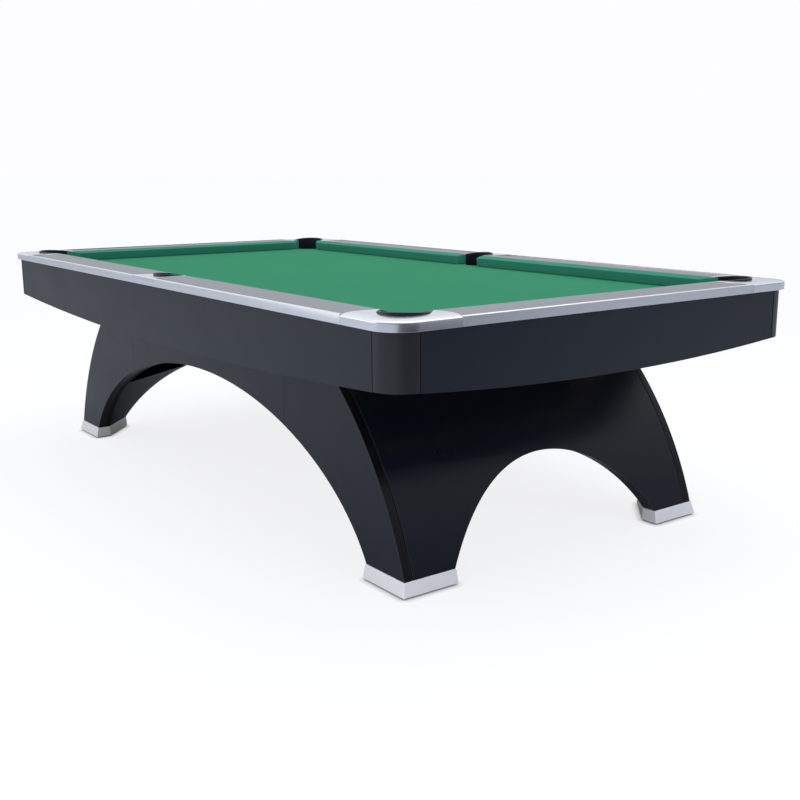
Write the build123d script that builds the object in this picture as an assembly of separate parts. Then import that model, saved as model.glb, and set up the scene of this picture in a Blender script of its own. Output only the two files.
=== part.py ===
from build123d import *
import os
from math import sqrt

# Nine-foot pool table, in millimetres.  Origin: centre of the footprint on the floor.
# +X runs along the table, +Y across it, +Z up.

# ---- Driving dimensions: playing surface and rails ----
PLAY_LENGTH = 2540.0          # nose to nose, long way
PLAY_WIDTH = 1270.0           # nose to nose, short way
BED_HEIGHT = 768.0            # floor to the top of the bed cloth
RAIL_RISE = 42.0              # bed cloth to the top of the rails
RAIL_WIDTH = 173.0            # cushion nose to the outer face of the metal trim
CUSHION_WIDTH = 42.5          # nose to the joint between cloth and cap
NOSE_RISE = 36.5              # bed cloth to the cushion nose
NOSE_FLAT = 2.5               # height of the blunt nose
CUSHION_UNDERCUT = 13.0       # how far the foot of the cushion stands back from the nose
CAP_THICKNESS = 12.0
TRIM_THICKNESS = 6.0
TRIM_RISE = 14.0              # bed cloth to the lower edge of the trim
TRIM_FLANGE = 4.0             # thickness of the trim's inward flange
TRIM_FLANGE_WIDTH = 33.0
TRIM_CHAMFER = 2.5
CLOTH_DIP = 0.5               # how far the cushion cloth stays below the cap at their joint
RAIL_CORNER_RADIUS = 85.0
SUB_RAIL_FOOT = 120.0         # how far the sub-rail's lower face runs out from the nose

# ---- Driving dimensions: pockets ----
CORNER_MOUTH = 114.0          # nose to nose
SIDE_MOUTH = 127.0
CORNER_FACING = 0.7813        # slope of a corner facing: tan of 38 degrees
SIDE_FACING = 0.2493          # slope of a side facing: tan of 14 degrees
CORNER_HOLE_INSET = 146.0     # trim faces to the corner hole's centre, both ways
CORNER_HOLE_RADIUS = 70.0
CORNER_SLOT_REACH = 46.0      # hole's centre to the open end of the slot in the slate
CORNER_LINER_REACH = 40.0     # hole's centre to the ends of the liner's arms
SIDE_HOLE_INSET = 105.0       # trim face to the side hole's centre
SIDE_HOLE_RADIUS = 60.0
LINER_THICKNESS = 7.0
LINER_CLEARANCE = 0.3
LINER_LIP = 8.0               # how far the liner stands above the rail at the back
LINER_DROP = 60.0             # how far the liner reaches below the bed
CUP_DEPTH = 150.0             # bed cloth to the underside of the cup
CUP_WALL = 4.0
CORNER_CASTING_REACH = 220.0  # outer corner to the casting's joint in the trim
CORNER_CASTING_BELLY = 241.0  # furthest reach of its curved joint with the cap
SIDE_CASTING_HALF = 90.0      # half length of the side casting at the trim
SIDE_CASTING_WAIST = 69.0
SIDE_CASTING_WAIST_PLACE = 0.45   # how far in the waist stands, as a share of the rail's width
SIDE_CASTING_TIP = 67.0
CASTING_SKIRT = 6.0           # thickness of a corner casting's outer wall
CASTING_ROUND = 5.0           # rounding of a corner casting's outer edge
SIDE_CASTING_ROUND = 3.0

# ---- Driving dimensions: rail bolts and apron brackets ----
BOLT_RADIUS = 5.0
BOLT_CLEARANCE = 0.2
BOLT_HEAD_RADIUS = 9.0
BOLT_HEAD_HEIGHT = 7.0
BOLT_REACH = 18.0             # how far a rail bolt stands up into the sub-rail
BOLT_OFFSET = 78.0            # nose line to the rail bolts
LONG_BOLT_X = (200.0, 630.0, 1060.0)
SHORT_BOLT_Y = (-420.0, 0.0, 420.0)
BRACKET_THICKNESS = 3.0
BRACKET_WIDTH = 40.0
BRACKET_DROP = 50.0
LONG_BRACKET_X = (260.0, 700.0, 1140.0)
SHORT_BRACKET_Y = (-480.0, 0.0, 480.0)

# ---- Driving dimensions: bed and subframe ----
CLOTH_THICKNESS = 1.0
SLATE_THICKNESS = 25.0
SLATE_OVERHANG = 92.0         # slate beyond the nose line
BACKING_THICKNESS = 18.0
BACKING_OVERHANG = 62.0
BACKING_SIDE_START = 70.0     # where the side strips of the backing begin, clear of the side pockets
BACKING_SIDE_END = 1190.0     # and where they end, clear of the corner pockets
BACKING_END_START = 1195.0    # inner edge of the end strips
BACKING_END_HALF = 560.0
BACKING_CROSS_X = (-454.0, 0.0, 454.0)
BACKING_CROSS_HALF = 50.0
BEAM_HEIGHT = 84.0
BEAM_WIDTH = 60.0
BEAM_OUTER_Y = 558.0
BEAM_END_X = 1275.0
CROSS_BEAM_X = (-1245.0, -450.0, 0.0, 450.0, 1245.0)

# ---- Driving dimensions: aprons ----
APRON_INSET = 11.0            # trim face to apron face
APRON_THICKNESS = 20.0
APRON_CORNER_RADIUS = 85.0
APRON_CORNER_THICKNESS = 14.0
APRON_CORNER_DROP = 141.0     # bed cloth to the apron's lower edge at the corners
LONG_APRON_SAG = 42.0         # how much lower a long apron hangs at its middle
SHORT_APRON_SAG = 29.0
APRON_SEAM = 0.6

# ---- Driving dimensions: base ----
BASE_HALF_WIDTH = 612.0       # outer faces of the side panels
SIDE_PANEL_THICKNESS = 28.0
SIDE_BOARD_THICKNESS = 22.0
BRIDGE_HALF_LENGTH = 598.0
PANEL_SEAM = 0.8
LEG_ARC_X = 123.0             # centre of the leg's outer curve, on each side of the middle
LEG_ARC_Z = -298.0
LEG_ARC_RADIUS = 1158.0
END_PANEL_THICKNESS = 46.0
END_PANEL_GROOVE = 3.0
END_PANEL_TOP = 640.0
LONG_ARCH_HALF = 1090.0       # semi-axes and centre height of the long elliptical arch
LONG_ARCH_RISE = 595.0
LONG_ARCH_Z = -127.0
END_ARCH_HALF = 525.0         # the same for the end arches
END_ARCH_RISE = 601.0
END_ARCH_Z = -300.0
WEB_THICKNESS = 15.0          # slanting boards that close each leg between the two arches
WEB_HEIGHTS = (110.0, 175.0, 235.0, 285.0)
WEB_CLEARANCE = 1.0

# ---- Driving dimensions: feet ----
SHOE_TOP = 46.0
RECESS_CLEARANCE = 3.0        # room round a levelling foot's pad inside the shoe
RECESS_ROOM = 0.3             # and above it
SHOE_BOTTOM = 5.0
SHOE_SPREAD = 12.0            # how far the shoe's foot stands out from the leg
SHOE_LEDGE = 3.0              # how far its top stands out from the leg
SHOE_INNER_SPREAD = 3.0
SHOE_INNER_LEDGE = 1.0
FOOT_X = 1138.0               # centre of the levelling foot
FOOT_Y = 530.0
FOOT_BLOCK_HALF = 19.0        # half width of the wooden block that holds the foot's thread
FOOT_BLOCK_HEIGHT = 60.0
PAD_RADIUS = 27.0
PAD_HEIGHT = 9.0
STUD_RADIUS = 8.0
STUD_LENGTH = 70.0
STUD_CLEARANCE = 0.5

# ---- Worked-out places ----
OVERCUT = 1.0                                   # how far a cutting solid runs past what it cuts
TOUCHING = 0.1                                  # closer than this counts as lying on a face
HALF_L = PLAY_LENGTH / 2 + RAIL_WIDTH
HALF_W = PLAY_WIDTH / 2 + RAIL_WIDTH
NOSE_X = PLAY_LENGTH / 2
NOSE_Y = PLAY_WIDTH / 2
RAIL_TOP = BED_HEIGHT + RAIL_RISE
CAP_BOTTOM = RAIL_TOP - CAP_THICKNESS
TRIM_BOTTOM = BED_HEIGHT + TRIM_RISE
SLATE_TOP = BED_HEIGHT - CLOTH_THICKNESS
SLATE_BOTTOM = SLATE_TOP - SLATE_THICKNESS
BACKING_BOTTOM = SLATE_BOTTOM - BACKING_THICKNESS
BEAM_BOTTOM = BACKING_BOTTOM - BEAM_HEIGHT
CAP_EDGE = RAIL_WIDTH - TRIM_THICKNESS          # nose to the cap's outer edge
CORNER_NOSE = CORNER_MOUTH / sqrt(2)            # playfield corner to each nose point
CUSHION_INSET = RAIL_WIDTH - CUSHION_WIDTH      # trim face to the cushion's back
SLATE_X = NOSE_X + SLATE_OVERHANG
SLATE_Y = NOSE_Y + SLATE_OVERHANG
CORNER_HOLE = (HALF_L - CORNER_HOLE_INSET, HALF_W - CORNER_HOLE_INSET)
SIDE_HOLE_Y = HALF_W - SIDE_HOLE_INSET
SIDE_SLOT_REACH = CUSHION_INSET - SIDE_HOLE_INSET
QUADRANTS = {"front_right": (1, -1), "back_right": (1, 1), "front_left": (-1, -1), "back_left": (-1, 1)}
SIDES = {"front": -1, "back": 1}
ENDS = {"left": -1, "right": 1}

nodes = {}


def placed(shape, sign_x, sign_y):
    """A shape made for the +X, +Y quadrant, reflected into another one."""
    if sign_x < 0:
        shape = mirror(shape, Plane.YZ)
    if sign_y < 0:
        shape = mirror(shape, Plane.XZ)
    return shape


def in_all_quadrants(shape):
    return [placed(shape, *signs) for signs in QUADRANTS.values()]


def largest(shape):
    """The biggest solid of a cut shape, without the offcuts."""
    return shape.solids().sort_by(SortBy.VOLUME)[-1]


def box(x0, x1, y0, y1, z0, z1):
    return Pos((x0 + x1) / 2, (y0 + y1) / 2, (z0 + z1) / 2) * Box(abs(x1 - x0), abs(y1 - y0), abs(z1 - z0))


def column(outline, z0, z1):
    """A flat outline in XY, raised from z0 to z1."""
    return extrude(Pos(0, 0, z0) * outline, z1 - z0, dir=(0, 0, 1))


def rod(x, y, radius, z0, z1):
    return Pos(x, y, (z0 + z1) / 2) * Cylinder(radius, z1 - z0)


def along_x(profile_yz, x0, x1):
    """A profile given as (y, z) points, run from x0 to x1."""
    face = make_face(Polyline(*[(x0, y, z) for y, z in profile_yz], close=True))
    return extrude(face, x1 - x0, dir=(1, 0, 0))


def along_y(profile_xz, y0, y1):
    face = make_face(Polyline(*[(x, y0, z) for x, z in profile_xz], close=True))
    return extrude(face, y1 - y0, dir=(0, 1, 0))


def polygon(*points):
    return make_face(Polyline(*points, close=True))


def corner(dx, dy):
    """A point in the +X, +Y quadrant, measured in from the outer corner of the trim."""
    return (HALF_L - dx, HALF_W - dy)


def slot_outline_corner(radius, reach):
    """A round hole with a slot along the corner's diagonal, towards the table's middle."""
    centre = Location((*CORNER_HOLE, 0), (0, 0, 45))
    bar = centre * Pos(-reach / 2, 0) * Rectangle(reach, 2 * radius)
    return bar + Pos(*CORNER_HOLE) * Circle(radius)


def slot_outline_side(radius, reach):
    bar = Pos(0, SIDE_HOLE_Y - reach / 2) * Rectangle(2 * radius, reach)
    return bar + Pos(0, SIDE_HOLE_Y) * Circle(radius)


def pocket_cuts(z0, z1):
    """The six pockets' openings in the bed, as cutting solids."""
    low, high = z0 - OVERCUT, z1 + OVERCUT
    at_corner = column(slot_outline_corner(CORNER_HOLE_RADIUS, CORNER_SLOT_REACH), low, high)
    at_side = column(slot_outline_side(SIDE_HOLE_RADIUS, SIDE_SLOT_REACH), low, high)
    return in_all_quadrants(at_corner) + [at_side, placed(at_side, 1, -1)]


def rail_bolt_places():
    places = [(sx * x, sy * (NOSE_Y + BOLT_OFFSET)) for x in LONG_BOLT_X for sx in (1, -1) for sy in (1, -1)]
    places += [(sx * (NOSE_X + BOLT_OFFSET), y) for y in SHORT_BOLT_Y for sx in (1, -1)]
    return places


def bolt_holes(z0, z1):
    radius = BOLT_RADIUS + BOLT_CLEARANCE
    return [rod(x, y, radius, z0 - OVERCUT, z1 + OVERCUT) for x, y in rail_bolt_places()]


# ---- Rail zones: what the castings take from the caps ----
def corner_zone():
    """All of the rail's corner up to the casting's curved joints with the caps, as a flat outline."""
    reach = CORNER_CASTING_REACH
    middle = (TRIM_THICKNESS + CUSHION_INSET) / 2
    tip = CUSHION_INSET + CORNER_HOLE_RADIUS * sqrt(2)
    long_joint = ThreePointArc(
        corner(reach, TRIM_THICKNESS), corner(CORNER_CASTING_BELLY, middle), corner(tip, CUSHION_INSET)
    )
    short_joint = ThreePointArc(
        corner(CUSHION_INSET, tip), corner(middle, CORNER_CASTING_BELLY), corner(TRIM_THICKNESS, reach)
    )
    edges = [
        Line(corner(0, 0), corner(reach, 0)),
        Line(corner(reach, 0), long_joint @ 0),
        long_joint,
        Line(long_joint @ 1, short_joint @ 0),
        short_joint,
        Line(short_joint @ 1, corner(0, reach)),
        Line(corner(0, reach), corner(0, 0)),
    ]
    outline = make_face(Wire(edges))
    outer = outline.vertices().sort_by_distance((*corner(0, 0), 0))[0]
    return fillet(outer, RAIL_CORNER_RADIUS)


def side_joint(sign):
    """The side casting's curved joint with a cap, from the trim to the cushion."""
    return ThreePointArc(
        (sign * SIDE_CASTING_HALF, HALF_W),
        (sign * SIDE_CASTING_WAIST, HALF_W - SIDE_CASTING_WAIST_PLACE * CUSHION_INSET),
        (sign * SIDE_CASTING_TIP, HALF_W - CUSHION_INSET),
    )


def side_zone():
    right = side_joint(1)
    left = side_joint(-1)
    return make_face(Wire([right, Line(right @ 1, left @ 1), left, Line(left @ 0, right @ 0)]))


# ---- Bed ----
def make_bed():
    slate_cuts = pocket_cuts(SLATE_BOTTOM, SLATE_TOP) + bolt_holes(SLATE_BOTTOM, SLATE_TOP)
    third = 2 * SLATE_X / 3
    for index, name in enumerate(("left", "centre", "right")):
        x0 = -SLATE_X + index * third
        slab = box(x0, x0 + third, -SLATE_Y, SLATE_Y, SLATE_BOTTOM, SLATE_TOP)
        nodes["slate_" + name] = largest(slab - slate_cuts)

    cloth = box(-SLATE_X, SLATE_X, -SLATE_Y, SLATE_Y, SLATE_TOP, BED_HEIGHT)
    cloth_cuts = pocket_cuts(SLATE_TOP, BED_HEIGHT) + bolt_holes(SLATE_TOP, BED_HEIGHT)
    nodes["bed_cloth"] = largest(cloth - cloth_cuts)


def make_subframe():
    """Plywood strips under the slates' edges and joints, on two long beams and five cross beams."""
    inner_y = BEAM_OUTER_Y - BEAM_WIDTH
    outer_x = NOSE_X + BACKING_OVERHANG
    outer_y = NOSE_Y + BACKING_OVERHANG
    levels = (BACKING_BOTTOM, SLATE_BOTTOM)
    side_strip = box(BACKING_SIDE_START, BACKING_SIDE_END, inner_y, outer_y, *levels)
    end_strip = box(BACKING_END_START, outer_x, -BACKING_END_HALF, BACKING_END_HALF, *levels)
    cross_strips = [
        box(x - BACKING_CROSS_HALF, x + BACKING_CROSS_HALF, -inner_y, inner_y, *levels)
        for x in BACKING_CROSS_X
    ]
    strips = in_all_quadrants(side_strip) + [end_strip, placed(end_strip, -1, 1)] + cross_strips
    nodes["slate_backing"] = Compound(strips)

    long_beam = box(-BEAM_END_X, BEAM_END_X, inner_y, BEAM_OUTER_Y, BEAM_BOTTOM, BACKING_BOTTOM)
    nodes["long_beams"] = Compound([long_beam, placed(long_beam, 1, -1)])
    half = BEAM_WIDTH / 2
    nodes["cross_beams"] = Compound(
        [box(x - half, x + half, -inner_y, inner_y, BEAM_BOTTOM, BACKING_BOTTOM) for x in CROSS_BEAM_X]
    )


# ---- Rails ----
def cushion_profile(nose):
    """(across, z) points of a cushion whose nose line stands at the given distance."""
    return [
        (nose, BED_HEIGHT + NOSE_RISE + NOSE_FLAT / 2),
        (nose, BED_HEIGHT + NOSE_RISE - NOSE_FLAT / 2),
        (nose + CUSHION_UNDERCUT, BED_HEIGHT),
        (nose + CUSHION_WIDTH, BED_HEIGHT),
        (nose + CUSHION_WIDTH, RAIL_TOP - CLOTH_DIP),
    ]


def sub_rail_profile(nose):
    return [
        (nose + CUSHION_WIDTH, BED_HEIGHT),
        (nose + SUB_RAIL_FOOT, BED_HEIGHT),
        (nose + SUB_RAIL_FOOT, TRIM_BOTTOM + TRIM_FLANGE),
        (nose + CAP_EDGE, TRIM_BOTTOM + TRIM_FLANGE),
        (nose + CAP_EDGE, CAP_BOTTOM),
        (nose + CUSHION_WIDTH, CAP_BOTTOM),
    ]


def trim_profile(face):
    """(across, z) points of the L-shaped metal trim whose outer face stands at the given distance."""
    return [
        (face, TRIM_BOTTOM),
        (face, RAIL_TOP - TRIM_CHAMFER),
        (face - TRIM_CHAMFER, RAIL_TOP),
        (face - TRIM_THICKNESS, RAIL_TOP),
        (face - TRIM_THICKNESS, TRIM_BOTTOM + TRIM_FLANGE),
        (face - TRIM_FLANGE_WIDTH, TRIM_BOTTOM + TRIM_FLANGE),
        (face - TRIM_FLANGE_WIDTH, TRIM_BOTTOM),
    ]


def make_cushions():
    """Six cloth-covered rubber cushions, their ends cut to the pocket facings."""
    corner_x = NOSE_X - CORNER_NOSE
    corner_y = NOSE_Y - CORNER_NOSE
    side_x = SIDE_MOUTH / 2
    near = -OVERCUT
    far = CUSHION_WIDTH + OVERCUT
    z0, z1 = BED_HEIGHT - OVERCUT, RAIL_TOP + OVERCUT

    long_bar = along_x(cushion_profile(NOSE_Y), 0, NOSE_X)
    long_keep = polygon(
        (side_x - SIDE_FACING * near, NOSE_Y + near),
        (corner_x + near / CORNER_FACING, NOSE_Y + near),
        (corner_x + far / CORNER_FACING, NOSE_Y + far),
        (side_x - SIDE_FACING * far, NOSE_Y + far),
    )
    long_cushion = long_bar & column(long_keep, z0, z1)
    for name, signs in QUADRANTS.items():
        nodes["cushion_" + name] = placed(long_cushion, *signs)

    short_bar = along_y(cushion_profile(NOSE_X), -NOSE_Y, NOSE_Y)
    short_keep = polygon(
        (NOSE_X + near, corner_y + near / CORNER_FACING),
        (NOSE_X + far, corner_y + far / CORNER_FACING),
        (NOSE_X + far, -corner_y - far / CORNER_FACING),
        (NOSE_X + near, -corner_y - near / CORNER_FACING),
    )
    short_cushion = short_bar & column(short_keep, z0, z1)
    for name, sign in ENDS.items():
        nodes["cushion_end_" + name] = placed(short_cushion, sign, 1)


def make_rails():
    """Sub-rails, caps and trims, cut back to the corner and side castings."""
    zones = [corner_zone(), placed(corner_zone(), 1, -1)]
    low, high = CAP_BOTTOM - OVERCUT, RAIL_TOP + OVERCUT
    side_cut = column(side_zone(), low, high)
    corner_cuts = [column(zone, low, high) for zone in zones]
    bolt_bores = bolt_holes(BED_HEIGHT, BED_HEIGHT + BOLT_REACH)

    sub_rails = []
    end_x = HALF_L - CORNER_CASTING_BELLY
    end_y = HALF_W - CORNER_CASTING_BELLY
    long_sub = along_x(sub_rail_profile(NOSE_Y), SIDE_CASTING_HALF, end_x) - bolt_bores
    short_sub = along_y(sub_rail_profile(NOSE_X), -end_y, end_y) - bolt_bores
    sub_rails += in_all_quadrants(long_sub)
    sub_rails += [short_sub, placed(short_sub, -1, 1)]
    nodes["sub_rails"] = Compound(sub_rails)

    long_cap = box(0, HALF_L, NOSE_Y + CUSHION_WIDTH, NOSE_Y + CAP_EDGE, CAP_BOTTOM, RAIL_TOP)
    long_cap = largest(long_cap - side_cut - corner_cuts[0])
    short_half = HALF_W - CUSHION_INSET
    short_cap = box(NOSE_X + CUSHION_WIDTH, NOSE_X + CAP_EDGE, -short_half, short_half, CAP_BOTTOM, RAIL_TOP)
    short_cap = largest(short_cap - corner_cuts)
    for name, signs in QUADRANTS.items():
        nodes["rail_cap_" + name] = placed(long_cap, *signs)
    for name, sign in ENDS.items():
        nodes["rail_cap_end_" + name] = placed(short_cap, sign, 1)

    trim_x = HALF_L - CORNER_CASTING_REACH
    trim_y = HALF_W - CORNER_CASTING_REACH
    side_top = column(side_zone(), CAP_BOTTOM, high)
    long_trim = along_x(trim_profile(HALF_W), -trim_x, trim_x) - side_top
    short_trim = along_y(trim_profile(HALF_L), -trim_y, trim_y)
    for name, sign in SIDES.items():
        nodes["edge_trim_" + name] = placed(long_trim, 1, sign)
    for name, sign in ENDS.items():
        nodes["edge_trim_" + name] = placed(short_trim, sign, 1)


def make_castings():
    """Metal castings around the pockets: a top plate, with a skirt at the corners."""
    zone = corner_zone()
    plate = column(zone - slot_outline_corner(CORNER_HOLE_RADIUS, CORNER_CASTING_REACH), CAP_BOTTOM, RAIL_TOP)
    top_edges = plate.faces().sort_by(Axis.Z)[-1].edges()
    corner_box = RAIL_CORNER_RADIUS / 2
    outer_edges = [
        edge for edge in top_edges
        if max(edge.center().X - HALF_L, edge.center().Y - HALF_W) > -TOUCHING
        or min(edge.center().X - HALF_L, edge.center().Y - HALF_W) > -corner_box
    ]
    plate = fillet(outer_edges, CASTING_ROUND)
    wall = RectangleRounded(2 * HALF_L, 2 * HALF_W, RAIL_CORNER_RADIUS) - RectangleRounded(
        2 * (HALF_L - CASTING_SKIRT), 2 * (HALF_W - CASTING_SKIRT), RAIL_CORNER_RADIUS - CASTING_SKIRT
    )
    casting = plate + column(wall & zone, TRIM_BOTTOM, CAP_BOTTOM)
    for name, signs in QUADRANTS.items():
        nodes["corner_casting_" + name] = placed(casting, *signs)

    side_outline = side_zone() - slot_outline_side(SIDE_HOLE_RADIUS, SIDE_HOLE_INSET)
    side_plate = column(side_outline, CAP_BOTTOM, RAIL_TOP)
    outer_edge = side_plate.faces().sort_by(Axis.Z)[-1].edges().sort_by(Axis.Y)[-1]
    side_plate = fillet(outer_edge, SIDE_CASTING_ROUND)
    for name, sign in SIDES.items():
        nodes["side_casting_" + name] = placed(side_plate, 1, sign)


def make_liner(radius, reach):
    """A U-shaped liner at the origin, open towards -X, whose top slopes up to a lip at its back."""
    outer = radius - LINER_CLEARANCE
    inner = outer - LINER_THICKNESS
    low = BED_HEIGHT - LINER_DROP
    high = RAIL_TOP + LINER_LIP
    back = Circle(outer) - Circle(inner) - Pos(-outer, 0) * Rectangle(2 * outer, 2 * outer)
    arms = [
        Pos(-reach / 2, side * (outer - LINER_THICKNESS / 2)) * Rectangle(reach, LINER_THICKNESS)
        for side in (1, -1)
    ]
    walls = column(back + arms, low, high)
    front = -reach - OVERCUT
    above_lip = polygon(
        (front, high - LINER_LIP), (outer, high), (outer, high + LINER_LIP), (front, high + LINER_LIP)
    )
    return walls - extrude(Plane.XZ * above_lip, outer + OVERCUT, both=True)


def make_cup(radius):
    """A round closed cup under a liner, where the balls collect."""
    outer = radius - LINER_CLEARANCE
    low = BED_HEIGHT - CUP_DEPTH
    hollow = rod(0, 0, outer - CUP_WALL, low + CUP_WALL, BED_HEIGHT)
    return rod(0, 0, outer, low, BED_HEIGHT - LINER_DROP) - hollow


def make_pockets():
    corner_place = Pos(*CORNER_HOLE) * Rot(0, 0, 45)
    side_place = Pos(0, SIDE_HOLE_Y) * Rot(0, 0, 90)
    corner_liner = corner_place * make_liner(CORNER_HOLE_RADIUS, CORNER_LINER_REACH)
    side_liner = side_place * make_liner(SIDE_HOLE_RADIUS, SIDE_SLOT_REACH)
    corner_cup = corner_place * make_cup(CORNER_HOLE_RADIUS)
    side_cup = side_place * make_cup(SIDE_HOLE_RADIUS)
    nodes["corner_liners"] = Compound(in_all_quadrants(corner_liner))
    nodes["side_liners"] = Compound([side_liner, placed(side_liner, 1, -1)])
    nodes["pocket_cups"] = Compound(in_all_quadrants(corner_cup) + [side_cup, placed(side_cup, 1, -1)])


# ---- Aprons ----
def make_apron(half_length, sag):
    """A board along X whose lower edge bows down at the middle; its outer face is at y = 0."""
    corner_z = BED_HEIGHT - APRON_CORNER_DROP
    top = TRIM_BOTTOM
    lower_edge = ThreePointArc((-half_length, corner_z), (0, corner_z - sag), (half_length, corner_z))
    edges = [
        lower_edge,
        Line(lower_edge @ 1, (half_length, top)),
        Line((half_length, top), (-half_length, top)),
        Line((-half_length, top), lower_edge @ 0),
    ]
    return extrude(Plane.XZ * make_face(Wire(edges)), APRON_THICKNESS, dir=(0, 1, 0))


def make_aprons():
    face_x = HALF_L - APRON_INSET
    face_y = HALF_W - APRON_INSET
    long_half = face_x - APRON_CORNER_RADIUS - APRON_SEAM
    short_half = face_y - APRON_CORNER_RADIUS - APRON_SEAM
    long_apron = Pos(0, -face_y) * make_apron(long_half, LONG_APRON_SAG)
    short_apron = Pos(face_x) * Rot(0, 0, 90) * make_apron(short_half, SHORT_APRON_SAG)
    for name, sign in SIDES.items():
        nodes["apron_" + name] = placed(long_apron, 1, -sign)
    for name, sign in ENDS.items():
        nodes["apron_" + name] = placed(short_apron, sign, 1)

    radius = APRON_CORNER_RADIUS
    centre = (face_x - radius, face_y - radius)
    ring = Circle(radius) - Circle(radius - APRON_CORNER_THICKNESS)
    quarter = ring & Pos(radius / 2, radius / 2) * Rectangle(radius, radius)
    post = column(Pos(*centre) * quarter, BED_HEIGHT - APRON_CORNER_DROP, TRIM_BOTTOM)
    nodes["apron_corners"] = Compound(in_all_quadrants(post))


def make_bracket():
    """A bent steel angle along X: its upright on y = 0, its shelf at z = 0 reaching inwards."""
    half = BRACKET_WIDTH / 2
    upright = box(-half, half, -BRACKET_THICKNESS, 0, -BRACKET_DROP, 0)
    return upright + box(-half, half, -BRACKET_WIDTH, 0, -BRACKET_THICKNESS, 0)


def make_fixings():
    bracket = Pos(0, HALF_W - APRON_INSET - APRON_THICKNESS, BED_HEIGHT) * make_bracket()
    turned = Pos(HALF_L - APRON_INSET - APRON_THICKNESS, 0, BED_HEIGHT) * Rot(0, 0, -90) * make_bracket()
    brackets = []
    for x in LONG_BRACKET_X:
        brackets += in_all_quadrants(Pos(x) * bracket)
    for y in SHORT_BRACKET_Y:
        brackets += [Pos(0, y) * turned, placed(Pos(0, y) * turned, -1, 1)]
    nodes["apron_brackets"] = Compound(brackets)

    bolts = []
    for x, y in rail_bolt_places():
        head = rod(x, y, BOLT_HEAD_RADIUS, SLATE_BOTTOM - BOLT_HEAD_HEIGHT, SLATE_BOTTOM)
        bolts.append(head + rod(x, y, BOLT_RADIUS, SLATE_BOTTOM, BED_HEIGHT + BOLT_REACH))
    nodes["rail_bolts"] = Compound(bolts)


# ---- Base ----
def leg_arc_x(height, inset=0.0):
    """Where the leg's outer curve, moved in by inset, stands at a height."""
    return LEG_ARC_X + sqrt((LEG_ARC_RADIUS - inset) ** 2 - (height - LEG_ARC_Z) ** 2)


def long_arch_x(height):
    return LONG_ARCH_HALF * sqrt(1 - ((height - LONG_ARCH_Z) / LONG_ARCH_RISE) ** 2)


def end_arch_y(height):
    return END_ARCH_HALF * sqrt(1 - ((height - END_ARCH_Z) / END_ARCH_RISE) ** 2)


def leg_disc(y0, y1, inset=0.0):
    """A disc across the table whose rim is the leg's outer curve on the +X side."""
    disc = Rot(90, 0, 0) * Cylinder(LEG_ARC_RADIUS - inset, y1 - y0)
    return Pos(LEG_ARC_X, (y0 + y1) / 2, LEG_ARC_Z) * disc


def long_arch():
    outline = Plane.XZ * Pos(0, LONG_ARCH_Z) * Ellipse(LONG_ARCH_HALF, LONG_ARCH_RISE)
    return extrude(outline, BASE_HALF_WIDTH + OVERCUT, both=True)


def end_arch():
    outline = Plane.YZ * Pos(0, END_ARCH_Z) * Ellipse(END_ARCH_HALF, END_ARCH_RISE)
    return extrude(outline, HALF_L, both=True)


def make_base():
    outer = BASE_HALF_WIDTH
    inner = outer - SIDE_PANEL_THICKNESS
    board_y = inner - SIDE_BOARD_THICKNESS
    top = BACKING_BOTTOM
    arch = long_arch()

    seam_x = BRIDGE_HALF_LENGTH + PANEL_SEAM
    leg = box(seam_x, NOSE_X, inner, outer, SHOE_TOP, top) & leg_disc(inner, outer)
    leg = leg - arch
    for name, signs in QUADRANTS.items():
        nodes["leg_side_" + name] = placed(leg, *signs)

    bridge = box(-BRIDGE_HALF_LENGTH, BRIDGE_HALF_LENGTH, inner, outer, SHOE_TOP, top) - arch
    for name, sign in SIDES.items():
        nodes["bridge_panel_" + name] = placed(bridge, 1, sign)

    board_inset = END_PANEL_THICKNESS + WEB_CLEARANCE
    half_board = box(0, NOSE_X, board_y, inner, SHOE_TOP, top) & leg_disc(board_y, inner, board_inset)
    board = half_board + placed(half_board, -1, 1) - arch
    nodes["side_boards"] = Compound([board, placed(board, 1, -1)])

    half_width = inner - END_PANEL_GROOVE
    shell = leg_disc(-half_width, half_width) - leg_disc(-half_width, half_width, END_PANEL_THICKNESS)
    panel = shell & box(BRIDGE_HALF_LENGTH, NOSE_X, -half_width, half_width, SHOE_TOP, END_PANEL_TOP)
    panel = panel - end_arch()
    for name, sign in ENDS.items():
        nodes["end_panel_" + name] = placed(panel, sign, 1)

    sections = []
    web_y = board_y - WEB_CLEARANCE / 2
    for height in (SHOE_TOP, *WEB_HEIGHTS):
        side_x = long_arch_x(height) + WEB_CLEARANCE
        end_x = leg_arc_x(height, END_PANEL_THICKNESS) - WEB_CLEARANCE
        end_y = end_arch_y(height) + WEB_CLEARANCE
        section = polygon(
            (side_x, web_y), (end_x, end_y), (end_x, end_y + WEB_THICKNESS), (side_x + WEB_THICKNESS, web_y)
        )
        sections.append(Pos(0, 0, height) * section)
    nodes["leg_webs"] = Compound(in_all_quadrants(loft(sections)))


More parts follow.
